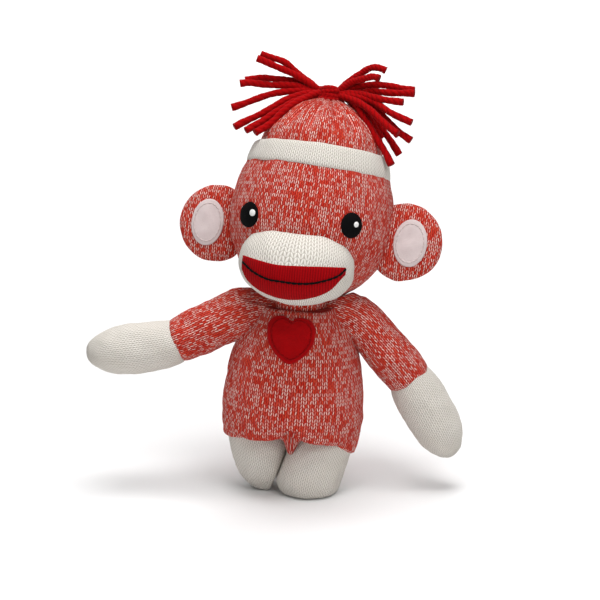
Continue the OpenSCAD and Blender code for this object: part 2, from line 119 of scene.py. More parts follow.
class MonkeySizes(bpy.types.PropertyGroup):
    """Sizes of the knit, felt and yarn"""

    wale: length("Marl wale", "Width of one stitch of the marl knit", 2.0)
    course: length("Marl course", "Height of one row of the marl knit", 1.7)
    fine_wale: length("White wale", "Width of one stitch of the white knit", 1.95)
    fine_course: length("White course", "Height of one row of the white knit", 1.55)
    rib: length("Mouth rib", "Width of one rib of the red knit", 1.1)
    yarn: length("Pompom yarn", "Thickness of the pompom's yarn", 3.3)
    thread: length("Thread", "Thickness of the sewing thread", 0.75)
    felt: length("Felt", "Thickness of the felt patches", 0.9)
    pleats: bpy.props.IntProperty(name="Hat pleats", description="Gathers around the top of the hat", default=15, min=6)


class MonkeyColours(bpy.types.PropertyGroup):
    """Colours of the knit, felt and yarn"""

    marl_red: colour("Marl red", "Red ply of the marl yarn", "#cf2a1b")
    marl_coral: colour("Marl coral", "Lighter red ply of the marl yarn", "#e24a34")
    marl_pale: colour("Marl white", "White ply of the marl yarn", "#f6d6cd")
    # Painted shade in the grooves between the marl stitches.
    marl_groove_shade: colour("Marl grooves", "Red between the stitches", "#7e160d")
    white: colour("White knit", "Yarn of hands, feet, muzzle and hat band", "#e9e5df")
    # Painted shade in the gaps between the white stitches.
    white_pinhole_shade: colour("White grooves", "Gaps between the white stitches", "#a79f94")
    mouth_red: colour("Mouth", "Red ribbed knit", "#a60209")
    heart_red: colour("Heart", "Red felt", "#a80207")
    ear_felt: colour("Ear felt", "Pale felt", "#d0c4c2")
    black: colour("Black floss", "Embroidered eyes and smile", "#020203")
    glint: colour("White floss", "Light dots in the eyes", "#f7f7f5")
    yarn_red: colour("Pompom red", "Wool yarn", "#ae0306")
    floor: colour("Floor", "Studio sweep", "#e6e6e6")


def add(tree, kind, inputs=None, **settings):
    """Adds a node with its settings; each input is a socket to link or a value."""
    node = tree.nodes.new("ShaderNode" + kind)
    for name, value in settings.items():
        setattr(node, name, value)
    for key, value in (inputs or {}).items():
        if isinstance(value, bpy.types.NodeSocket):
            tree.links.new(value, node.inputs[key])
        else:
            node.inputs[key].default_value = value
    return node


def new_material(name):
    """An empty node material and its tree."""
    made = bpy.data.materials.new(name)
    made.use_nodes = True
    made.node_tree.nodes.clear()
    return made, made.node_tree


def maths(tree, operation, *values):
    """Result of a math node."""
    return add(tree, "Math", dict(enumerate(values)), operation=operation).outputs[0]


def ramp(tree, value, low, high, start, end, kind="LINEAR"):
    """Carries a value's stretch from low to high over to start and end."""
    inputs = dict(enumerate((value, low, high, start, end)))
    return add(tree, "MapRange", inputs, interpolation_type=kind).outputs[0]


def mixed(tree, share, first, second):
    """The first colour with a share of the second."""
    return add(tree, "Mix", {0: share, 6: first, 7: second}, data_type="RGBA").outputs[2]


def noise(tree, place, scale, detail, **more):
    """Cloudy noise at a place."""
    return add(tree, "TexNoise", {"Vector": place, "Scale": scale, "Detail": detail, **more}).outputs[0]


def stitch_count(tree):
    """The UV map, which counts stitches across and rows up."""
    return add(tree, "UVMap", uv_map="Stitches").outputs[0]


def finished(made, dyed, relief, depth, strength, roughness, gloss, sheen=0.0, fuzz=0.5):
    """Ends a material: its dye, a relief of that many millimetres, roughness, gloss and the sheen of loose fibres."""
    tree = made.node_tree
    bump = add(tree, "Bump", {"Height": relief, "Distance": depth * MM, "Strength": strength}).outputs[0]
    inputs = {"Base Color": dyed, "Roughness": roughness, "Normal": bump, "Specular IOR Level": gloss}
    shader = add(tree, "BsdfPrincipled", {**inputs, "Sheen Weight": sheen, "Sheen Roughness": fuzz})
    add(tree, "OutputMaterial", {0: shader.outputs[0]})
    return made


def stitches(tree, slant, lean):
    """Stocking stitch in stitch units: the UV count, the yarn's height and each leg's number."""
    uv = stitch_count(tree)
    count = add(tree, "SeparateXYZ", {0: uv})
    x, y = count.outputs[0], count.outputs[1]
    centred = maths(tree, "SUBTRACT", maths(tree, "FRACT", x), 0.5)
    aside = maths(tree, "ABSOLUTE", centred)
    slanted = maths(tree, "MULTIPLY_ADD", aside, -slant, y)
    climb = maths(tree, "FRACT", slanted)
    along = maths(tree, "PINGPONG", climb, 0.5)
    middle = maths(tree, "MULTIPLY_ADD", climb, lean, 0.25 - lean / 2)
    apart = maths(tree, "ABSOLUTE", maths(tree, "SUBTRACT", aside, middle))
    body = maths(tree, "MULTIPLY", ramp(tree, along, 0, 0.26, 0, 1), ramp(tree, apart, 0.01, 0.2, 1, 0))
    height = maths(tree, "POWER", body, 0.6)
    leg = maths(tree, "FLOOR", maths(tree, "MULTIPLY", x, 2))
    cell = add(tree, "CombineXYZ", {0: leg, 1: maths(tree, "FLOOR", slanted)}).outputs[0]
    return uv, height, cell


def marl_knit(c):
    """Acrylic knit of a red and a white ply twisted together: each stitch shows red, coral or white by chance."""
    made, tree = new_material("marl acrylic knit")
    uv, height, cell = stitches(tree, 1.2, 0.13)
    chance = add(tree, "TexWhiteNoise", {0: cell}, noise_dimensions="2D").outputs[0]
    shade = add(tree, "TexWhiteNoise", {0: cell, 1: 7}, noise_dimensions="4D").outputs[0]
    drift = add(tree, "Mapping", {0: cell, 3: (0.11, 0.42, 1)}).outputs[0]
    patches = noise(tree, drift, 1, 2, Roughness=0.6)
    likely = maths(tree, "MULTIPLY_ADD", patches, 1.15, chance)
    pale = ramp(tree, likely, 0.75, 1.5, 0, 1, "SMOOTHSTEP")
    core = ramp(tree, height, 0.4, 0.8, 0, 1, "SMOOTHSTEP")
    red = mixed(tree, shade, c.marl_red, c.marl_coral)
    ply = mixed(tree, maths(tree, "MULTIPLY", pale, core), red, c.marl_pale)
    # Painted shade: where the yarn lies low between the stitches, it is mixed towards a dark red.
    low_yarn_shade = ramp(tree, height, 0.05, 0.5, 0.85, 0, "SMOOTHSTEP")
    dyed = mixed(tree, low_yarn_shade, ply, c.marl_groove_shade)
    relief = maths(tree, "MULTIPLY_ADD", noise(tree, uv, 9, 2), 0.25, height)
    return finished(made, dyed, relief, 0.6, 0.8, 0.85, 0.08, 0.05)


def white_knit(c):
    """Fine white acrylic knit: small rounded stitches with painted shade in a pinhole under each."""
    made, tree = new_material("white acrylic knit")
    uv, height, _ = stitches(tree, 0.9, 0.16)
    # Painted shade: the gap under each stitch is mixed towards a dark grey.
    stitch_hole_shade = ramp(tree, height, 0.04, 0.5, 0.85, 0, "SMOOTHSTEP")
    yarn = mixed(tree, noise(tree, uv, 0.12, 3), c.white, linear("#dcd6cc"))
    dyed = mixed(tree, stitch_hole_shade, yarn, c.white_pinhole_shade)
    relief = maths(tree, "MULTIPLY_ADD", noise(tree, uv, 8, 2), 0.25, height)
    return finished(made, dyed, relief, 0.4, 0.7, 0.88, 0.08, 0.05)


def red_rib(c):
    """Red ribbed acrylic knit: upright ridges with painted shade in the valleys between them."""
    made, tree = new_material("red rib knit")
    uv = stitch_count(tree)
    count = add(tree, "SeparateXYZ", {0: uv})
    ridge = maths(tree, "PINGPONG", count.outputs[0], 0.5)
    rung = maths(tree, "MULTIPLY_ADD", maths(tree, "PINGPONG", count.outputs[1], 0.5), 0.12, ridge)
    relief = maths(tree, "MULTIPLY_ADD", noise(tree, uv, 6, 2), 0.3, rung)
    # Painted shade: the valleys between the ribs are mixed towards a dark red.
    rib_valley_shade = ramp(tree, rung, 0.1, 0.5, 0.8, 0)
    dyed = mixed(tree, rib_valley_shade, c.mouth_red, linear("#740309"))
    return finished(made, dyed, relief, 0.5, 0.7, 0.85, 0.05, 0.02)


def felt(name, dye, shade):
    """Pressed wool felt: matted fibres that give a soft mottle and a fuzzy sheen."""
    made, tree = new_material(name)
    place = add(tree, "TexCoord").outputs["Object"]
    matted = noise(tree, place, 1 / (FELT_MOTTLE * MM), 4, Roughness=0.7)
    fibre = noise(tree, place, 1 / (FELT_FIBRE * MM), 3, Distortion=1.2)
    dyed, relief = mixed(tree, matted, dye, shade), maths(tree, "ADD", matted, fibre)
    return finished(made, dyed, relief, 0.25, 0.6, 0.92, 0.06, 0.25, 0.4)


def floss(name, dye, shade, roughness):
    """Stranded cotton or rayon floss: fine glossy threads laid side by side."""
    made, tree = new_material(name)
    fine = add(tree, "Mapping", {0: stitch_count(tree), 3: (1, 0.12, 1)}).outputs[0]
    strand = noise(tree, fine, 5, 2)
    return finished(made, mixed(tree, strand, dye, shade), strand, 0.2, 0.6, roughness, 0.07)


def wool_yarn(c):
    """Thick plied wool yarn: twisted strands with loose fibres and painted shade in the core between the plies."""
    made, tree = new_material("red wool yarn")
    uv = stitch_count(tree)
    twist = add(tree, "SeparateXYZ", {0: uv})
    ply = maths(tree, "PINGPONG", twist.outputs[0], 0.5)
    fibre = noise(tree, uv, 5, 3)
    lit = mixed(tree, fibre, c.yarn_red, linear("#8a0407"))
    # Painted shade: the core between the plies is mixed towards a dark red.
    dyed = mixed(tree, ramp(tree, ply, 0, 0.25, 0.5, 0), lit, linear("#620305"))
    return finished(made, dyed, maths(tree, "MULTIPLY_ADD", fibre, 0.6, ply), 0.6, 0.7, 0.9, 0.05, 0.03)


MAKERS = {
    "marl": marl_knit,
    "white": white_knit,
    "rib": red_rib,
    "heart": lambda c: felt("red wool felt", c.heart_red, linear("#8c0409")),
    "ear": lambda c: felt("pale wool felt", c.ear_felt, linear("#bfaeae")),
    "black": lambda c: floss("black rayon floss", c.black, linear("#08090a"), 0.75),
    "glint": lambda c: floss("white rayon floss", c.glint, linear("#d4d4d2"), 0.5),
    "ear_thread": lambda c: floss("pale cotton thread", linear("#d3c5c3"), linear("#b9a8a6"), 0.8),
    "heart_thread": lambda c: floss("red cotton thread", linear("#93060b"), linear("#780408"), 0.8),
    "yarn": wool_yarn,
}
MADE = {}


def material(key):
    """The material of that key, made once."""
    if key not in MADE:
        MADE[key] = MAKERS[key](bpy.context.scene.monkey_colours)
    return MADE[key]


def spline(points, at):
    """Smooth curve through rows of numbers, the first of which is the place along it."""
    rows = np.array(points, float)
    s, values = rows[:, 0], rows[:, 1:]
    step = np.diff(s)[:, None]
    slope = np.diff(values, axis=0) / step
    tangent = np.vstack([slope[:1], (slope[:-1] + slope[1:]) / 2, slope[-1:]])
    flat = np.vstack([[False] * values.shape[1], slope[:-1] * slope[1:] <= 0, [False] * values.shape[1]])
    tangent = np.where(flat, 0, tangent)
    at = np.clip(at, s[0], s[-1])
    i = np.clip(np.searchsorted(s, at, side="right") - 1, 0, len(s) - 2)
    h = (s[i + 1] - s[i])[..., None]
    t = ((at - s[i]) / h[..., 0])[..., None]
    a, b = values[i], values[i + 1]
    return (
        a * (2 * t**3 - 3 * t**2 + 1)
        + tangent[i] * h * (t**3 - 2 * t**2 + t)
        + b * (3 * t**2 - 2 * t**3)
        + tangent[i + 1] * h * (t**3 - t**2)
    )


def smooth(low, high, x):
    """Goes from 0 at low to 1 at high, without corners."""
    t = np.clip((x - low) / (high - low), 0, 1)
    return t * t * (3 - 2 * t)


def lumps(points, size, seed):
    """Uneven filling: a smooth field of about -1 to 1 whose swells are that many millimetres apart."""
    rng = np.random.default_rng(seed)
    waves = rng.normal(size=(10, 3))
    waves *= 2 * np.pi / size * rng.uniform(0.6, 1.4, (10, 1)) / np.linalg.norm(waves, axis=1, keepdims=True)
    return np.sin(points @ waves.T + rng.uniform(0, 2 * np.pi, 10)).sum(-1) / 4


def circle(count):
    """Evenly spaced angles once round."""
    return np.arange(count) / count * 2 * np.pi


def stacked(wide, deep, level, columns, swell=1.0):
    """Oval rings over each other: half width, half depth and level of each, with a swell at each angle."""
    angle = circle(columns)
    x, y = wide[:, None] * np.cos(angle) * swell, deep[:, None] * np.sin(angle) * swell
    return np.stack([x, y, np.repeat(level[:, None], columns, 1)], -1)


def normals(rings):
    """Outward normals of closed rings of points."""
    around = np.roll(rings, -1, 1) - np.roll(rings, 1, 1)
    n = np.cross(around, np.gradient(rings, axis=0))
    return n / np.maximum(np.linalg.norm(n, axis=2, keepdims=True), 1e-9)


def placed(name, data):
    """A new object in the scene."""
    made = bpy.data.objects.new(name, data)
    bpy.context.scene.collection.objects.link(made)
    return made


def gauge(key):
    """Width and height of a stitch of the marl or the white knit, in metres."""
    s = bpy.context.scene.monkey_sizes
    return (s.wale, s.course) if key == "marl" else (s.fine_wale, s.fine_course)


def sewn(name, rings, key, stitch=None, closed=True, ends=(True, True), uv=None):
    """Mesh over rings of points in millimetres, with a UV map that counts stitches."""
    rows, columns = rings.shape[:2]
    across = columns if closed else columns - 1
    index = np.arange(rows * columns).reshape(rows, columns)
    right = np.roll(index, -1, 1)[:, :across]
    quads = np.stack([index[:-1, :across], right[:-1], right[1:], index[1:, :across]], -1).reshape(-1, 4)
    if uv is None:
        stitch = stitch or gauge(key)
        gaps = np.linalg.norm(np.diff(rings, axis=0), axis=2).mean(1)
        climb = np.concatenate([[0], np.cumsum(gaps)]) / (stitch[1] / MM)
        loop = np.linalg.norm(np.roll(rings, -1, 1) - rings, axis=2)[:, :across].sum(1)
        count = max(3, round(np.percentile(loop, 85) / (stitch[0] / MM)))
        u = np.arange(across + 1) / across * count
        uv = np.stack(np.broadcast_arrays(u[None, :], climb[:, None]), -1)
    elif closed:
        uv = np.concatenate([uv, uv[:, :1]], 1)
    corner = np.stack([uv[:-1, :-1], uv[:-1, 1:], uv[1:, 1:], uv[1:, :-1]], 2).reshape(-1, 2)
    caps = [row.tolist() for row, shut in zip((index[0, ::-1], index[-1]), ends) if closed and shut]
    mesh = bpy.data.meshes.new(name)
    mesh.from_pydata((rings.reshape(-1, 3) * MM).tolist(), [], quads.tolist() + caps)
    layer = mesh.uv_layers.new(name="Stitches")
    flat = np.zeros((len(mesh.loops), 2))
    flat[: len(corner)] = corner
    layer.data.foreach_set("uv", flat.ravel().astype(np.float32))
    mesh.polygons.foreach_set("use_smooth", [True] * len(mesh.polygons))
    mesh.materials.append(material(key))
    return placed(name, mesh)


def walked(path, run, at):
    """Points of a path at distances along it; run is the distance of each of its own points."""
    return np.stack([np.interp(at, run, column) for column in path.T], -1)


def tube(path, radius, sides, plies=0, turns=0.0):
    """Rings of a cord along a path in millimetres; plies twist round it that many turns."""
    ahead = np.gradient(path, axis=0)
    ahead /= np.linalg.norm(ahead, axis=1, keepdims=True)
    side = np.cross(ahead[0], [0.3, 0.9, 0.4])
    rings = []
    angle = circle(sides)
    radius = np.broadcast_to(radius, (len(path),))
    for i, point in enumerate(path):
        side = side - ahead[i] * (side @ ahead[i])
        side /= np.linalg.norm(side)
        other = np.cross(ahead[i], side)
        r = radius[i]
        if plies:
            twist = angle - 2 * np.pi * turns * i / len(path)
            r = (r * (1 + 0.1 * (np.abs(np.cos(plies / 2 * twist)) - 0.6)))[:, None]
        rings.append(point + r * (np.cos(angle)[:, None] * side + np.sin(angle)[:, None] * other))
    return np.array(rings)


def joined(name, pieces):
    """One object out of several."""
    with bpy.context.temp_override(active_object=pieces[0], selected_editable_objects=pieces):
        bpy.ops.object.join()
    pieces[0].name = name
    return pieces[0]


def to_world(points, origin, axes):
    """Points from a part's own axes into the row frame, in millimetres."""
    return origin + points @ axes.T


def dress(piece, nodes, body=None):
    """Puts a piece in place of its solids, with its filling and the body that it rides on."""
    if nodes:
        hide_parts(*nodes)
    if body:
        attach(piece, body)


def surface_of(piece, origin, axes):
    """A piece's faces in a part's own axes, for laying patches on it."""
    points = (np.array([v.co for v in piece.data.vertices]) / MM - origin) @ axes
    return BVHTree.FromPolygons(points.tolist(), [tuple(p.vertices) for p in piece.data.polygons])


def laid(tree, x, z, lift):
    """Points where a patch lies that is pressed on from the front, lifted off the surface."""
    spots, outs = np.zeros((2, *x.shape, 3))
    for i in np.ndindex(x.shape):
        hit, out, _, _ = tree.ray_cast(Vector((x[i], -300, z[i])), Vector((0, 1, 0)))
        if hit is None:
            hit, out, _, _ = tree.find_nearest(Vector((x[i], -60, z[i])))
        spots[i], outs[i] = hit, -out if out.y > 0 else out
    return spots + outs * np.asarray(lift)[..., None]


def patch(name, under, origin, axes, outline, key, thickness, stitch, dome=0.0, rings=9):
    """Felt or embroidery cut to an outline in x and z, laid on the piece under it with rounded edges."""
    tree = surface_of(under, origin, axes)
    middle = outline.mean(0)
    share = np.concatenate([np.linspace(0.02, 0.93, rings), [0.975, 1.0, 1.0, 0.99]])
    domed = thickness + dome * (1 - np.linspace(0, 0.93, rings) ** 2)
    lift = np.concatenate([domed, [thickness * 0.93, thickness * 0.6, 0.1, -0.5]])
    flat = middle + (outline - middle)[None] * share[:, None, None]
    spots = laid(tree, flat[..., 0], flat[..., 1], np.broadcast_to(lift[:, None], flat.shape[:2]))
    uv = flat[:, ::-1] / (np.array(stitch) / MM)
    return sewn(name, to_world(spots, origin, axes)[:, ::-1], key, uv=uv, ends=(True, False))


def stitch_line(name, under, origin, axes, path, key, radius, pitch, lift):
    """A sewn line: thread that dips into the piece under it between its stitches."""
    tree = surface_of(under, origin, axes)
    run = np.concatenate([[0], np.cumsum(np.linalg.norm(np.diff(path, axis=0), axis=1))])
    steps = np.arange(0, run[-1], pitch / 6)
    flat = walked(path, run, steps)
    beat = np.abs(np.sin(np.pi * steps / pitch)) ** 0.5
    spots = laid(tree, flat[:, 0], flat[:, 1], lift - radius * 0.9 * (1 - beat))
    rings = tube(to_world(spots, origin, axes), radius * (0.7 + 0.3 * beat), 8)
    return sewn(name, rings, key, (radius * MM, radius * 3 * MM))


def seam_inside(outline, share):
    """The closed line of stitches inside a patch's edge, at a share of its outline."""
    middle = outline.mean(0)
    inner = middle + (outline - middle) * share
    return np.vstack([inner, inner[:1]])


# The torso by share from under the seat up to the neck: radius and level.
TORSO_PROFILE = [
    (0.00, 1, 4), (0.05, 9, 1.6), (0.10, 17, 0.2), (0.15, 24.5, -0.6), (0.19, 29.8, -0.6), (0.23, 32, 1.4),
    (0.28, 32.5, 5), (0.35, 32.9, 10.5), (0.45, 32.5, 18.5), (0.55, 31.4, 27), (0.65, 29.9, 35.5),
    (0.74, 27.6, 43.5), (0.82, 25, 50.5), (0.89, 21.8, 56.5), (0.95, 19.6, 61.5), (1.00, 18.8, 64.5),
]


def torso_rings(rows, columns):
    """The body's skin in the torso's axes: full at the seat, sloping to the neck, with a cleft between the legs."""
    v = np.linspace(0, 1, rows)
    radius, level = spline(TORSO_PROFILE, v).T
    x, y, z = np.moveaxis(stacked(radius, 0.74 * radius, level, columns), -1, 0)
    belly = np.exp(-(((z - 16) / 15) ** 2)) * np.clip(-y / 25, 0, 1)
    y = y - 1.6 * belly
    low = smooth(9, -1, z)
    arch = 4.5 * np.exp(-(((x + 0.6) / 3.4) ** 2)) + 3.2 * np.exp(-((x / 11) ** 2))
    gusset = 8.0 * np.exp(-(((x - 0.3) / 2.8) ** 2)) * smooth(6, -4, y)
    z = z + low * (arch * smooth(-13, -20, y) - gusset * smooth(-22, -13, y))
    rings = np.stack([x, y, z], -1)
    return rings + normals(rings) * (0.35 * lumps(rings, 16, 3) + 0.2 * lumps(rings, 7, 4))[..., None]


def turned(name, share):
    """Rotation about a joint by a share of its upper or lower limit."""
    low, high = JOINTS[name]["range_deg"]
    turn = math.radians(share * high if share > 0 else -share * low)
    return np.array(Matrix.Rotation(turn, 3, Vector(line(name))))


# Head and muzzle as ovals in the head's axes, and the turns and nods that the shoulders leave room for.
HEAD_WIDE, HEAD_DEEP = 37.6, 36.8
MUZZLE_WIDE, MUZZLE_DEEP, MUZZLE_Y, MUZZLE_Z = 26.4, 20.0, -22, -23.3
HEAD_OVALS = (
    ((0, 0, 0), (HEAD_WIDE, HEAD_DEEP, HEAD_DEEP)),
    ((0, MUZZLE_Y, MUZZLE_Z), (MUZZLE_WIDE, MUZZLE_DEEP, 17.0)),
)
NOD_PLACES = [turned("neck_nod", nod) for nod in (0, 1, -1)]
TURNS = (0.35, 0.7, 1, -0.35, -0.7, -1)
HEAD_PLACES = NOD_PLACES + [turned("neck_turn", turn) @ place for turn in TURNS for place in NOD_PLACES]


def clear_of_head(points, places, gap):
    """Points in the row frame pressed straight down, to clear the head at each of its places."""
    level = points[..., 2].copy()
    for place in places:
        axes = place @ HEAD_AXES
        own = (points - NECK - place @ (HEAD - NECK)) @ axes
        for centre, radii in HEAD_OVALS:
            out, up = (own - centre) / (np.array(radii) + gap), axes[2] / (np.array(radii) + gap)
            a, b, c = (up**2).sum(), (out * up).sum(-1), (out**2).sum(-1) - 1
            under = points[..., 2] - (b + np.sqrt(np.maximum(b * b - a * c, 0))) / a
            level = np.where(b * b > a * c, np.minimum(level, under), level)
    return np.concatenate([points[..., :2], level[..., None]], -1)


# How steeply the right and the left arm hang, in degrees, at the shoulder and at the hand.
ARM_SLOPES = {-1: (25, 7), 1: (50, 61)}


def arm_rings(side, rows, start, end, profile):
    """A stretch of an arm along its bent middle line, from the shoulder outwards."""
    slope = np.radians(ARM_SLOPES[side])
    s = np.linspace(-30, 80, 240)
    angle = slope[0] * (0.35 + 0.65 * smooth(-16, 4, s)) + (slope[1] - slope[0]) * smooth(22, 44, s)
    step = np.diff(s, prepend=s[0])
    run = np.stack([side * np.cumsum(np.cos(angle) * step), 0 * s, -np.cumsum(np.sin(angle) * step)], -1)
    run -= walked(run, s, 0)
    at = np.linspace(start, end, rows)
    if end > 60:  # the hand, whose rings crowd at its tip
        at = start + (end - start) * np.sin(np.linspace(0, 1, rows) * np.pi / 2)
    middle = walked(run, s, at)
    turn = np.interp(at, s, angle)
    out = np.stack([side * np.sin(turn), 0 * turn, np.cos(turn)], -1)
    radius = spline(profile, at)[:, 0]
    around = circle(72) * side
    return middle[:, None] + radius[:, None, None] * (
        np.cos(around)[None, :, None] * out[:, None] + 0.96 * np.sin(around)[None, :, None] * np.array([0, 1, 0])
    )


def puffed(rings, seed, height=0.3):
    """Rings with the small swells that loose filling leaves."""
    swell = height * lumps(rings, 12, seed) + height / 2 * lumps(rings, 5, seed + 1)
    return rings + normals(rings) * swell[..., None]


class MONKEY_OT_torso(bpy.types.Operator):
    """Sews the marl body, with the neck gathered under the chin"""

    bl_idname = "monkey.torso"
    bl_label = "Torso"

    def execute(self, context):
        rings = to_world(torso_rings(84, 144), SEAT, TORSO_AXES)
        body = sewn("body", clear_of_head(rings, HEAD_PLACES, 1.4), "marl")
        dress(body, ("torso_skin", "torso_stuffing"), "torso")
        v = np.linspace(0, 1, 24)
        radius = 14.3 + 0.5 * np.cos(v * np.pi * 2)
        tilt = np.radians((v - 0.5) * 150)
        wide, gathers = radius * np.cos(tilt), 1 + 0.02 * np.cos(18 * circle(72))
        rings = stacked(wide, wide, radius * np.sin(tilt), 72, gathers)
        neck = sewn("neck_roll", to_world(rings, NECK, TORSO_AXES), "marl")
        dress(neck, ("neck_skin", "neck_stuffing"), "neck")
        return {"FINISHED"}


# Outline of the heart in the torso's axes: x and z.
HEART = [
    (-3.4, 56.67), (-1.6, 58.081), (1, 58.496), (4, 57.832), (6.4, 55.84), (7.6, 53.018), (7.4, 50.03),
    (6.7, 46.876), (4.5, 43.224), (1, 40.07), (-3.4, 37.912), (-7.8, 40.07), (-11.3, 43.224), (-13.5, 46.876),
    (-14.1, 50.362), (-14.2, 53.35), (-12.9, 56.172), (-10.4, 57.998), (-7.8, 58.496), (-5.2, 57.749),
]


def rounded(points, count):
    """A closed outline through points, evenly walked."""
    points = np.array(points)
    s = np.arange(len(points) + 3) - 1
    wrapped = points[s % len(points)]
    at = np.arange(count) / count * len(points)
    return spline(np.column_stack([s, wrapped]), at)


class MONKEY_OT_heart(bpy.types.Operator):
    """Sews the felt heart on the chest"""

    bl_idname = "monkey.heart"
    bl_label = "Heart"

    def execute(self, context):
        s = context.scene.monkey_sizes
        body, own = bpy.data.objects["body"], (SEAT, TORSO_AXES)
        outline = rounded(HEART, 120)
        heart = patch("heart_felt", body, *own, outline, "heart", s.felt / MM, (s.thread, s.thread), 0.5)
        dress(heart, ("heart_patch",), "torso")
        inner, thick = seam_inside(outline, 0.83), s.thread / MM / 2
        seam = stitch_line("heart_seam", heart, *own, inner, "heart_thread", thick, 2.4, 0.1)
        dress(seam, ("heart_stitching",), "torso")
        return {"FINISHED"}


def sew_arm(name, side):
    """One arm: its sleeve, the sleeve's gathered end and its hand."""
    pivot = spot(f"arm_{name}_raise")
    cuff, tip, full, shoulder = (28.8, 71.8, 11.7, 11.5) if side < 0 else (33.4, 76.5, 12.0, 10.4)
    profile = [
        (-26, 3.0), (-20, 7.4), (-12, 9.8), (-4, shoulder), (6, shoulder), (18, 11.0), (cuff - 5, 10.7),
        (cuff, 10.2), (cuff + 1.5, 9.3),
    ]
    rings = pivot + puffed(arm_rings(side, 56, -26, cuff + 1.2, profile), 11 + side)
    sleeve = sewn(f"arm_{name}_sleeve", clear_of_head(rings, HEAD_PLACES, 0.5), "marl")
    dress(sleeve, (f"sleeve_{name}", f"arm_stuffing_{name}"))
    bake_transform(sleeve)
    # The gathered inner end of the sleeve fills the shoulder up to the cheek.
    profile = [(-26, 2.5), (-20, 6.9), (-12, 9.3), (-7, shoulder - 0.9), (-3, shoulder - 2.2), (-0.5, 5.0)]
    rings = pivot + arm_rings(side, 40, -25.5, 0, profile + [(0, 0.4)])
    gather = sewn(f"arm_{name}_gather", clear_of_head(rings, NOD_PLACES, 0.35), "marl")
    dress(gather, (), "torso")
    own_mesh(gather)
    profile = [(cuff - 2, 8.6), (cuff, 9.9), (cuff + 3, full - 1.0), (cuff + 10, full - 0.2)]
    end = np.linspace(0, 0.999, 16)
    profile += [(tip - 22 + 22 * e, full * (1 - e**2.1) ** 0.5) for e in end] + [(tip, 0.3)]
    rings = pivot + puffed(arm_rings(side, 54, cuff - 1.5, tip, profile), 21 + side, 0.22)
    hand = sewn(f"arm_{name}_hand", rings, "white")
    dress(hand, (f"hand_{name}",), f"arm_{name}")


class MONKEY_OT_arms(bpy.types.Operator):
    """Sews the marl sleeves and the white hands"""

    bl_idname = "monkey.arms"
    bl_label = "Arms"

    def execute(self, context):
        for name, side in SIDES.items():
            sew_arm(name, side)
        return {"FINISHED"}


# How often a foot is pressed, and evened out again before the next time.
PRESSES = 14


def pressed(rings, side):
    """A foot flattened by the floor and by the other foot."""
    for i in range(PRESSES):
        beyond = (rings - FEET_POINT) @ FEET_PLANE * side - 0.2
        rings = rings - np.minimum(beyond, 0)[..., None] * side * FEET_PLANE
        rings[..., 2] = np.maximum(rings[..., 2], 0.1)
        if i < PRESSES - 1:
            wide = np.roll(rings, -1, 1) + np.roll(rings, 1, 1)
            wide[1:-1] += rings[:-2] + rings[2:]
            wide[[0, -1]] *= 2
            near = np.exp(-((rings[..., 2] / 4) ** 2)) + np.exp(-((((rings - FEET_POINT) @ FEET_PLANE) / 3) ** 2))
            rings = rings + np.clip(near, 0, 1)[..., None] * 0.35 * (wide / 4 - rings)
    return rings


# Which way each leg points, and half its thickness at distances below the hip.
LEG_WAYS = {"right": (0.0523, 0.087, -0.9948), "left": (-0.1908, -0.2208, -0.9564)}
FEET = {
    "right": [
        (-2, 11), (4, 13), (10, 13.6), (17, 13.5), (22, 12.6), (27, 10.6), (31, 8.2), (34.5, 5.2), (36.6, 2.4),
        (37.2, 0.4),
    ],
    "left": [
        (-2, 12), (4, 14), (10, 15), (16, 15.4), (23, 15.6), (29, 14.2), (34, 10), (36.3, 5.4), (37.2, 0.4),
    ],
}


def sew_leg(name, side):
    """One leg: the hem round its thigh and its foot."""
    hip = spot(f"leg_{name}_swing")
    down = np.array(LEG_WAYS[name])
    across = np.cross([0, 1, 0], down)
    across /= np.linalg.norm(across)
    ahead = np.cross(down, across)
    hem, drop = (1.6, -2.3) if side < 0 else (5.6, 4.6)
    thigh = [(-8, 11.0), (-4, 14.0), (0, 15.0), (hem - 1.2, 15.0), (hem - 0.2, 14.6), (hem, 14.0)]
    hem_at = np.concatenate([np.linspace(-8, hem, 22), [hem + 0.01]])
    around = -circle(84)
    spokes = np.cos(around)[:, None] * across + np.sin(around)[:, None] * ahead
    for piece, key, profile, at, nodes in (
        ("thigh", "marl", thigh + [(hem + 0.01, 12.6)], hem_at, (f"thigh_{name}",)),
        ("foot", "white", FEET[name], np.linspace(-2, 37.2, 60), (f"foot_{name}", f"leg_stuffing_{name}")),
    ):
        radius = spline(profile, at)[:, 0]
        rings = hip + at[:, None, None] * down + radius[:, None, None] * spokes
        if key == "marl":
            rings += (drop * smooth(-2, hem, at)[:, None] * -np.cos(around))[..., None] * down
        rings[..., 0] += (2.8 * smooth(10, 34, at) if side < 0 else -3.2 * smooth(4, 26, at))[:, None]
        rings[..., 0] += ((-1.5 if side < 0 else 1.8) * smooth(12, 0, at))[:, None]
        part = sewn(f"leg_{name}_{piece}", pressed(puffed(rings, 31 + side, 0.25), side), key)
        dress(part, nodes, f"leg_{name}")


class MONKEY_OT_legs(bpy.types.Operator):
    """Sews the marl hems round the thighs and the white feet that stand on the floor"""

    bl_idname = "monkey.legs"
    bl_label = "Legs"

    def execute(self, context):
        for name, side in SIDES.items():
            sew_leg(name, side)
        return {"FINISHED"}


# The tail: its slope at the root in degrees, the height of its end, and the radii of tube and tip.
TAIL_SLOPE, TAIL_LOW, TAIL_RADIUS, TIP_RADIUS = 68, 6.16, 5.6, 5.9


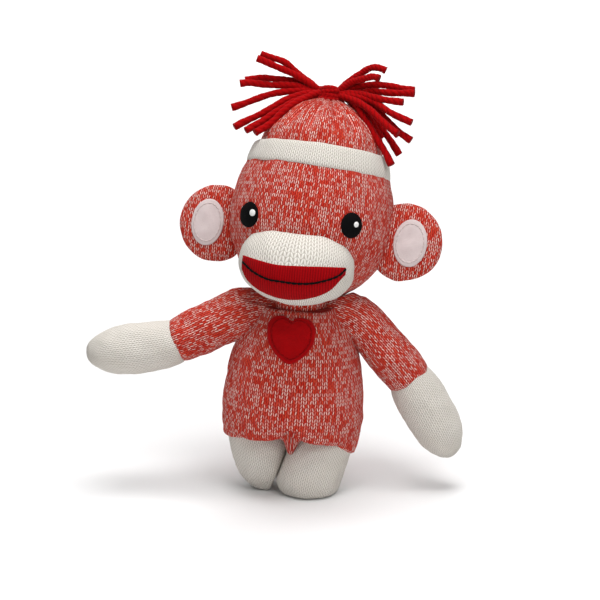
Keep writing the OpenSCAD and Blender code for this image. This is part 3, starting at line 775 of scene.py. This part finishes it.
class MONKEY_OT_tail(bpy.types.Operator):
    """Sews the tail that curves down to the floor behind"""

    bl_idname = "monkey.tail"
    bl_label = "Tail"

    def execute(self, context):
        root = spot("tail_lift")
        back = np.cross([0, 0, 1], line("tail_lift"))
        slope = math.radians(TAIL_SLOPE)
        bend = (root[2] - TAIL_LOW) / (1 - math.cos(slope))
        for name, start, end, count, key, nodes in (
            ("tail_tube", -0.08, 0.71, 46, "marl", ("tail_skin", "tail_stuffing")),
            ("tail_end", 0.69, 1.0, 26, "white", ("tail_tip",)),
        ):
            share = np.linspace(start, end, count)
            angle = slope * (1 - share)
            path = root + (bend * (math.sin(slope) - np.sin(angle)))[:, None] * back
            path[:, 2] -= bend * (np.cos(angle) - math.cos(slope))
            if key == "marl":
                shut = np.sqrt(np.maximum(1 - (share / 0.085) ** 2, 0.02))
                radius = np.where(share < 0, TAIL_RADIUS * shut, TAIL_RADIUS)
                radius -= 0.7 * smooth(0.69, 0.71, share)
            else:
                radius = TIP_RADIUS - 0.6 * smooth(0.71, 0.69, share)
                tip = np.linspace(0.05, 1, 12)
                path = np.vstack([path, path[-1] + (6 * np.sin(tip * np.pi / 2))[:, None] * back])
                radius = np.concatenate([radius, TIP_RADIUS * np.maximum(np.cos(tip * np.pi / 2), 0.03)])
            rings = puffed(tube(path, radius, 40), 41, 0.15)
            rings[..., 2] = np.maximum(rings[..., 2], 0.1)
            dress(sewn(name, rings, key), nodes, "tail")
        return {"FINISHED"}


class MONKEY_OT_head(bpy.types.Operator):
    """Sews the marl head"""

    bl_idname = "monkey.head"
    bl_label = "Head"

    def execute(self, context):
        climb = np.radians(np.linspace(-88.5, 62, 90))
        # Taller above the middle, where the hat sits.
        level = np.where(climb < 0, HEAD_DEEP, 50.0) * np.sin(climb)
        rings = stacked(HEAD_WIDE * np.cos(climb), HEAD_DEEP * np.cos(climb), level, 156)
        head = sewn("face", to_world(puffed(rings, 51, 0.3), HEAD, HEAD_AXES), "marl")
        dress(head, ("head_skin", "head_stuffing"), "head")
        return {"FINISHED"}


# Upper and lower edge of the mouth and the smile, by share from its right end to its left, in the head's axes.
MOUTH_TOP = [
    (0, -23, -21.3), (0.2, -13.2, -23.1), (0.4, -4.7, -24), (0.6, 6, -23.2), (0.8, 16.5, -21.9), (1, 24, -20.8),
]
MOUTH_LOW = [
    (0, -22.6, -27), (0.13, -19.6, -32.2), (0.3, -12.4, -36.6), (0.5, -1.5, -38.6), (0.68, 9, -37),
    (0.85, 18.5, -32), (1, 24.2, -23.6),
]
SMILE = [
    (0, -22.2, -24.4), (0.18, -15.2, -28.8), (0.38, -5.6, -31.2), (0.62, 6.6, -31), (0.8, 15, -28.8),
    (0.93, 21.6, -25), (1, 23.8, -21.6),
]


class MONKEY_OT_muzzle(bpy.types.Operator):
    """Sews the white muzzle, the ribbed mouth and the stitched smile"""

    bl_idname = "monkey.muzzle"
    bl_label = "Muzzle"

    def execute(self, context):
        s = context.scene.monkey_sizes
        angle = -circle(144)
        share = np.linspace(0.004, 1, 60)
        lift = np.sin(angle)
        squareness = np.where(lift > 0, 2 + 0.4 * smooth(0, 0.35, lift), 2.0)
        reach = (np.abs(np.cos(angle)) ** squareness + np.abs(lift) ** squareness) ** (-1 / squareness)
        tall = np.where(lift > 0, 18.9, 16.7)
        rim = np.stack([MUZZLE_WIDE * reach * np.cos(angle), tall * reach * lift], -1)
        dome = (1 - share[:, None] ** 2.3) ** 0.5
        back = np.linspace(0.1, 1, 14)[:, None]
        rings = np.concatenate(
            [
                np.stack([grow * rim[:, 0], MUZZLE_Y + y + 0 * angle, MUZZLE_Z + grow * rim[:, 1]], -1)
                for grow, y in ((share[:, None], -MUZZLE_DEEP * dome), (1 - 0.3 * back**2, 14 * back))
            ]
        )
        out = rings[..., 1] - MUZZLE_Y
        depth = np.arccos(np.clip(-out / MUZZLE_DEEP, 0, 1)) * 18 + np.maximum(out, 0)
        flat = np.stack([depth * np.cos(angle) * 1.12, depth * np.sin(angle) * 0.82], -1)
        rings = rings + normals(rings) * (0.2 * lumps(rings, 10, 61))[..., None]
        uv = flat / np.array(gauge("white")) * MM
        muzzle = sewn("muzzle_dome", to_world(rings, HEAD, HEAD_AXES), "white", uv=uv)
        dress(muzzle, ("muzzle_skin", "muzzle_stuffing"), "head")
        tree = surface_of(muzzle, HEAD, HEAD_AXES)
        u = np.linspace(0, 1, 80)
        v = np.linspace(0, 1, 28)[:, None, None]
        cut = spline(MOUTH_TOP, u) * (1 - v) + spline(MOUTH_LOW, u) * v
        edge = np.minimum(np.minimum(u, 1 - u) * 40, np.minimum(v[..., 0], 1 - v[..., 0]) * 14)
        spots = laid(tree, cut[..., 0], cut[..., 1], 0.55 * np.sqrt(np.clip(edge, 0, 1)) - 0.1)
        uv = cut[::-1] / (s.rib / MM)
        mouth = sewn("mouth_rib", to_world(spots, HEAD, HEAD_AXES)[::-1], "rib", closed=False, uv=uv)
        dress(mouth, ("mouth_patch",), "head")
        path = spline(SMILE, np.linspace(0, 1, 60))
        smile = stitch_line("smile_thread", mouth, HEAD, HEAD_AXES, path, "black", s.thread / MM * 0.72, 2.6, 0.2)
        dress(smile, ("smile_stitching",), "head")
        return {"FINISHED"}


def oval(x, z, width, height, count=72):
    """An upright oval outline."""
    a = circle(count)
    return np.stack([x + width / 2 * np.cos(a), z + height / 2 * np.sin(a)], -1)


# How far round the head the eyes lie, and x, z, width and height of each eye and its light dot as seen from there.
EYE_TURN = 40
EYES = {
    "right": ((0.2, -2.7, 12.4, 11.4), (3.9, -2, 3.2, 3)),
    "left": ((-0.6, -1.7, 10.6, 11.4), (0.9, -1.1, 2.5, 2.5)),
}


class MONKEY_OT_eyes(bpy.types.Operator):
    """Embroiders the eyes and their light dots"""

    bl_idname = "monkey.eyes"
    bl_label = "Eyes"

    def execute(self, context):
        s = context.scene.monkey_sizes
        face, stitch = bpy.data.objects["face"], (s.thread / 2, s.thread)
        dots = []
        for name, side in SIDES.items():
            turn = math.radians(side * EYE_TURN)
            c, w = math.cos(turn), math.sin(turn)
            axes = HEAD_AXES @ np.array([[c, -w, 0], [w, c, 0], [0, 0, 1]])
            eye_size, dot_size = EYES[name]
            eye = patch(f"eye_floss_{name}", face, HEAD, axes, oval(*eye_size), "black", 0.7, stitch, 0.7)
            dress(eye, (f"eye_{name}",), "head")
            dots.append(patch(f"glint_{name}", eye, HEAD, axes, oval(*dot_size, 36), "glint", 0.25, stitch, 0.3, 4))
        dots = joined("eye_lights", dots)
        dress(dots, ("eye_glints",), "head")
        return {"FINISHED"}


# The ears: how far out they lie, their radius and half their thickness.
EAR_OUT, EAR_RADIUS, EAR_DEEP = 44, 17.3, 4.4


def sew_ear(name, side):
    """One ear: its disc, the felt oval and the stitches on it."""
    s = bpy.context.scene.monkey_sizes
    middle = HEAD + HEAD_AXES @ np.array([side * EAR_OUT, 0, -6.4 if side < 0 else -4.0])
    sweep = np.linspace(-1, 1, 50) * np.pi / 2
    radius = EAR_RADIUS * np.abs(np.cos(sweep)) ** 0.8 + 0.2
    deep = EAR_DEEP * np.sign(sweep) * np.abs(np.sin(sweep)) ** 0.9
    angle = -circle(96)
    x, z = radius[:, None] * np.cos(angle), radius[:, None] * np.sin(angle) * 1.02
    rings = np.stack([x, np.repeat(deep[:, None], 96, 1), z], -1)
    root = smooth(-9, -16, side * rings[..., 0])
    rings[..., 1] *= 1 - 0.35 * root
    rings[..., 2] *= 1 - 0.12 * root
    rings = rings + normals(rings) * (0.25 * lumps(rings, 9, 71 + side))[..., None]
    flat = np.stack([rings[..., 0], rings[..., 2]], -1) * (1 + 0.1 * (1 - np.abs(np.sin(sweep)))[:, None, None])
    flat[..., 1] += np.where(sweep > 0, 40, 0)[:, None]
    uv = flat / np.array(gauge("marl")) * MM
    ear = sewn(f"ear_disc_{name}", to_world(rings, middle, HEAD_AXES), "marl", uv=uv)
    dress(ear, (f"ear_skin_{name}", f"ear_stuffing_{name}"), f"ear_{name}")
    own = middle, HEAD_AXES
    outline = oval(side * 3.3, -0.4, 15.2, 21.6)
    cut = patch(f"ear_oval_{name}", ear, *own, outline, "ear", s.felt / MM, (s.thread, s.thread), 0.2)
    dress(cut, (f"ear_felt_{name}",), f"ear_{name}")
    inner, thick = seam_inside(outline, 0.82), s.thread / MM / 2.2
    seam = stitch_line(f"ear_seam_{name}", cut, *own, inner, "ear_thread", thick, 2.2, 0.02)
    dress(seam, (f"ear_stitching_{name}",), f"ear_{name}")


class MONKEY_OT_ears(bpy.types.Operator):
    """Sews the disc ears with their felt ovals"""

    bl_idname = "monkey.ears"
    bl_label = "Ears"

    def execute(self, context):
        for name, side in SIDES.items():
            sew_ear(name, side)
        return {"FINISHED"}


# The hat by share from its edge to its top: radius and level. The yarn lies on the slope, and is tied above the top.
HAT_PROFILE = [
    (0, 28.6, 31), (0.1, 28.4, 33.5), (0.28, 26.9, 39), (0.46, 23.7, 44), (0.64, 18.8, 49), (0.8, 13, 53),
    (0.92, 7.4, 55.8), (1, 3, 57),
]
HAT_SLOPE = [3, 7.4, 13, 18.8, 23.7, 26.9, 28.6, 31], [57, 55.8, 53, 49, 44, 39, 31, 0]
KNOT_LEVEL = 59.0
KNOT = HEAD + HEAD_AXES @ np.array([0.0, 0, KNOT_LEVEL])
PLIES = 3
# The rolled band: radius, level, half its thickness and height, and how far it leans in, in degrees.
BAND_RADIUS, BAND_LEVEL, BAND_THICK, BAND_TALL, BAND_LEAN = 31.1, 28.0, 1.5, 5.2, 16


class MONKEY_OT_hat(bpy.types.Operator):
    """Sews the gathered hat and its rolled white band"""

    bl_idname = "monkey.hat"
    bl_label = "Hat"

    def execute(self, context):
        s = context.scene.monkey_sizes
        angle = circle(240)
        climb = np.linspace(0, 1, 60)
        radius, level = spline(HAT_PROFILE, climb).T
        rng = np.random.default_rng(81)
        phase = np.cumsum(rng.uniform(0.7, 1.3, 240))
        phase = phase / phase[-1] * 2 * np.pi * s.pleats
        gather = smooth(0.15, 0.7, climb) * (0.45 + 0.9 * smooth(0.98, 0.6, climb))
        fold = (np.abs(np.sin(phase / 2)) ** 0.6 - 0.7)[None] * gather[:, None]
        width = radius[:, None] + 2.8 * fold
        rings = np.stack([width * np.cos(angle), width * np.sin(angle), level[:, None] + 1.2 * fold], -1)
        crown = sewn("hat_cap", to_world(puffed(rings, 82, 0.2), HEAD, HEAD_AXES), "marl")
        dress(crown, ("hat_crown",), "head")
        turn = circle(40) + np.pi
        c, w = np.cos(turn), np.sin(turn)
        lean = math.radians(BAND_LEAN)
        thick = BAND_THICK * np.sign(c) * np.abs(c) ** 0.75
        tall = BAND_TALL * np.sign(w) * np.abs(w) ** 0.7
        out = BAND_RADIUS + thick * math.cos(lean) - tall * math.sin(lean)
        up = BAND_LEVEL + thick * math.sin(lean) + tall * math.cos(lean)
        wobble = 0.25 * lumps(np.stack([40 * np.cos(angle), 40 * np.sin(angle), 0 * angle], -1), 14, 83)
        wide = out[None] + wobble[:, None]
        droop = 1.3 * np.clip(-w, 0, 1)[None] * (0.5 + 0.5 * np.cos(angle))[:, None]
        level = up[None] + 0.6 * wobble[:, None] * w[None] - droop
        rings = np.stack([wide * np.cos(angle)[:, None], wide * np.sin(angle)[:, None], level], -1)
        rings = np.concatenate([rings, rings[:1]])
        run = np.cumsum(np.hypot(np.diff(out, prepend=out[-1]), np.diff(up, prepend=up[-1])))
        flat = np.stack(np.broadcast_arrays((np.append(angle, 2 * np.pi) * 32.5)[:, None], run[None]), -1)
        uv = flat[::-1] / np.array(gauge("white")) * MM
        rings = to_world(rings, HEAD, HEAD_AXES)[::-1]
        band = sewn("hat_cuff", rings, "white", ends=(False, False), uv=uv)
        dress(band, ("hat_band",), "head")
        return {"FINISHED"}


# Where each yarn end lies, in the head's axes from the knot, and how high it arches on the way.
YARN_ENDS = [
    (-33.4, -6, 14.6, 5), (-34.4, -10, 11.2, 3), (-39.6, -2, 2.2, 7), (-41, -8, -1, 4), (-42.8, -10, -12, 4),
    (-38.6, -14, -22, 3), (-33.4, -17, -23.6, 1), (-27.8, -19, -23.6, 0), (24.5, -4, 14, 10), (23.4, -8, 9.2, 6),
    (39.3, -2, 6.8, 6), (39.7, -6, 4, 3), (35.2, -10, -1, 2), (40.6, -12, -10, 4), (36.2, -15, -15.6, 2),
    (41.4, -8, -17.6, 4), (34.4, -11, -30, 4), (-30, 18, -10, 5), (-20, 27, -16, 4), (-6, 32, -18, 5),
    (9, 33, -17, 4), (22, 26, -15, 5), (32, 17, -12, 4), (-34, 10, -20, 4), (35, 8, -22, 4), (-14, 24, 2, 5),
    (15, 22, 3, 6), (27, 4, -16, 3), (-25, 6, -14, 3),
]


def strand(name, path, radius, sides, turns, twist, climb):
    """Plied yarn along a path from the knot; twist and climb count its stitches along the path."""
    around = np.arange(sides) / sides * PLIES
    uv = np.stack(np.broadcast_arrays(around[None] - twist, climb), -1)
    rings = tube(path, radius, sides, PLIES, turns)
    return sewn(name, to_world(rings, KNOT, HEAD_AXES), "yarn", uv=uv)


class MONKEY_OT_pompom(bpy.types.Operator):
    """Ties the tuft of yarn on top of the hat"""

    bl_idname = "monkey.pompom"
    bl_label = "Pompom"

    def execute(self, context):
        thick = context.scene.monkey_sizes.yarn / MM / 2
        rng = np.random.default_rng(91)
        strands = []
        t = np.linspace(0, 1, 48)[:, None]
        for i, (x, y, z, arch) in enumerate(YARN_ENDS):
            tip = np.array([x, y, z], float)
            flat = tip * [1, 1, 0] / np.hypot(x, y)
            start = flat * 2.0 + [0, 0, rng.uniform(-1, 1)]
            lift = start + flat * 9 + [0, 0, arch]
            bend = tip * 0.62 + [0, 0, 0.55 * arch + 0.12 * abs(z)]
            path = (1 - t) ** 3 * start + 3 * t * (1 - t) ** 2 * lift + 3 * t**2 * (1 - t) * bend + t**3 * tip
            path = path + 0.5 * np.sin(t * rng.uniform(8, 14) + rng.uniform(0, 6, 3)) * t
            rise = np.interp(np.hypot(path[:, 0], path[:, 1]), *HAT_SLOPE)
            path[:, 2] = np.maximum(path[:, 2], rise - KNOT_LEVEL + 1.2)
            radius = thick * (0.95 + 0.1 * smooth(0.85, 1, t[:, 0]) + 0.05 * np.sin(t[:, 0] * 30 + i))
            strands.append(strand(f"yarn_{i}", path, radius, 18, 5, t * 15, t * 16))
        yarn = joined("tuft", strands)
        dress(yarn, ("pompom_yarn",), "head")
        wraps = []
        for k in range(9):
            a = np.linspace(0, 2 * np.pi, 60)
            lean = rng.uniform(-0.35, 0.35)
            size = rng.uniform(3.6, 4.6) if k < 7 else 1.4
            path = np.stack([size * np.cos(a), size * np.sin(a), 0.4 * (k - 3) + lean * size * np.sin(a + k)], -1)
            wraps.append(strand(f"wrap_{k}", path, thick * 0.9, 14, 6, a[:, None] * 3, a[:, None] * 3))
        core = joined("tuft_knot", wraps)
        dress(core, ("pompom_knot",), "head")
        return {"FINISHED"}


# The camera: lens and sensor in millimetres, its height as an angle, half the picture's width at the toy in metres.
LENS, SENSOR, VIEW_RISE, HALF_VIEW = 120, 36, math.radians(14), 0.138


class MONKEY_OT_stage(bpy.types.Operator):
    """Sets the pale floor, the soft lights and the camera"""

    bl_idname = "monkey.stage"
    bl_label = "Stage"

    def execute(self, context):
        scene = context.scene
        scene.view_settings.view_transform = "Standard"
        scene.view_settings.look = "None"
        mesh = bpy.data.meshes.new("floor")
        mesh.from_pydata([(-6, -6, 0), (6, -6, 0), (6, 6, 0), (-6, 6, 0)], [], [(0, 1, 2, 3)])
        sheet, tree = new_material("white paper sweep")
        inputs = {"Base Color": scene.monkey_colours.floor, "Roughness": 0.9, "Specular IOR Level": 0.1}
        shader = add(tree, "BsdfPrincipled", inputs)
        add(tree, "OutputMaterial", {0: shader.outputs[0]})
        mesh.materials.append(sheet)
        floor = placed("floor", mesh)
        world = bpy.data.worlds.new("studio")
        world.use_nodes = True
        sky = world.node_tree.nodes["Background"]
        sky.inputs["Color"].default_value = (1, 1, 1, 1)
        sky.inputs["Strength"].default_value = 0.16
        scene.world = world
        target = Vector((14.4, SEAT[1], 91.0)) * MM
        for name, place, aim, size, spread, power in (
            ("key", (0.4, -0.7, 0.75), target, 0.5, 180, 3.6),
            ("fill", (-0.7, -1.1, 0.5), target, 0.9, 180, 2.6),
            ("top", (0.05, -0.1, 1.25), target, 0.7, 180, 15.0),
            ("sweep", (0.0, 2.75, 1.6), Vector((0, 2.75, 0)), 3.5, 124, 75.0),
        ):
            light = bpy.data.lights.new(name, "AREA")
            light.size, light.spread, light.energy = size, math.radians(spread), power
            lamp = placed(name, light)
            lamp.location = place
            lamp.rotation_euler = (aim - Vector(place)).to_track_quat("-Z", "Y").to_euler()
        data = bpy.data.cameras.new("camera")
        data.lens, data.sensor_width = LENS, SENSOR
        camera = placed("camera", data)
        away = Vector((0, -math.cos(VIEW_RISE), math.sin(VIEW_RISE)))
        camera.location = target + away * (HALF_VIEW / (SENSOR / 2 / LENS))
        camera.rotation_euler = (-away).to_track_quat("-Z", "Y").to_euler()
        scene.camera = camera
        return {"FINISHED"}


OPERATORS = (
    MONKEY_OT_stage, MONKEY_OT_torso, MONKEY_OT_heart, MONKEY_OT_arms, MONKEY_OT_legs, MONKEY_OT_tail, MONKEY_OT_head,
    MONKEY_OT_muzzle, MONKEY_OT_eyes, MONKEY_OT_ears, MONKEY_OT_hat, MONKEY_OT_pompom,
)


class MONKEY_PT_panel(bpy.types.Panel):
    """Lists the pieces of the monkey with their sizes and colours"""

    bl_label = "Stuffed knit monkey"
    bl_idname = "MONKEY_PT_panel"
    bl_space_type = "VIEW_3D"
    bl_region_type = "UI"
    bl_category = "Monkey"

    def draw(self, context):
        for group in (context.scene.monkey_sizes, context.scene.monkey_colours):
            for name in group.__annotations__:
                self.layout.prop(group, name)
        for operator in OPERATORS:
            self.layout.operator(operator.bl_idname)


CLASSES = (MonkeySizes, MonkeyColours, *OPERATORS, MONKEY_PT_panel)


def register():
    for cls in CLASSES:
        bpy.utils.register_class(cls)
    bpy.types.Scene.monkey_sizes = bpy.props.PointerProperty(type=MonkeySizes)
    bpy.types.Scene.monkey_colours = bpy.props.PointerProperty(type=MonkeyColours)


def unregister():
    del bpy.types.Scene.monkey_colours
    del bpy.types.Scene.monkey_sizes
    for cls in reversed(CLASSES):
        bpy.utils.unregister_class(cls)


def main():
    register()
    for operator in OPERATORS:
        group, name = operator.bl_idname.split(".")
        getattr(getattr(bpy.ops, group), name)()


if __name__ == "__main__":
    main()
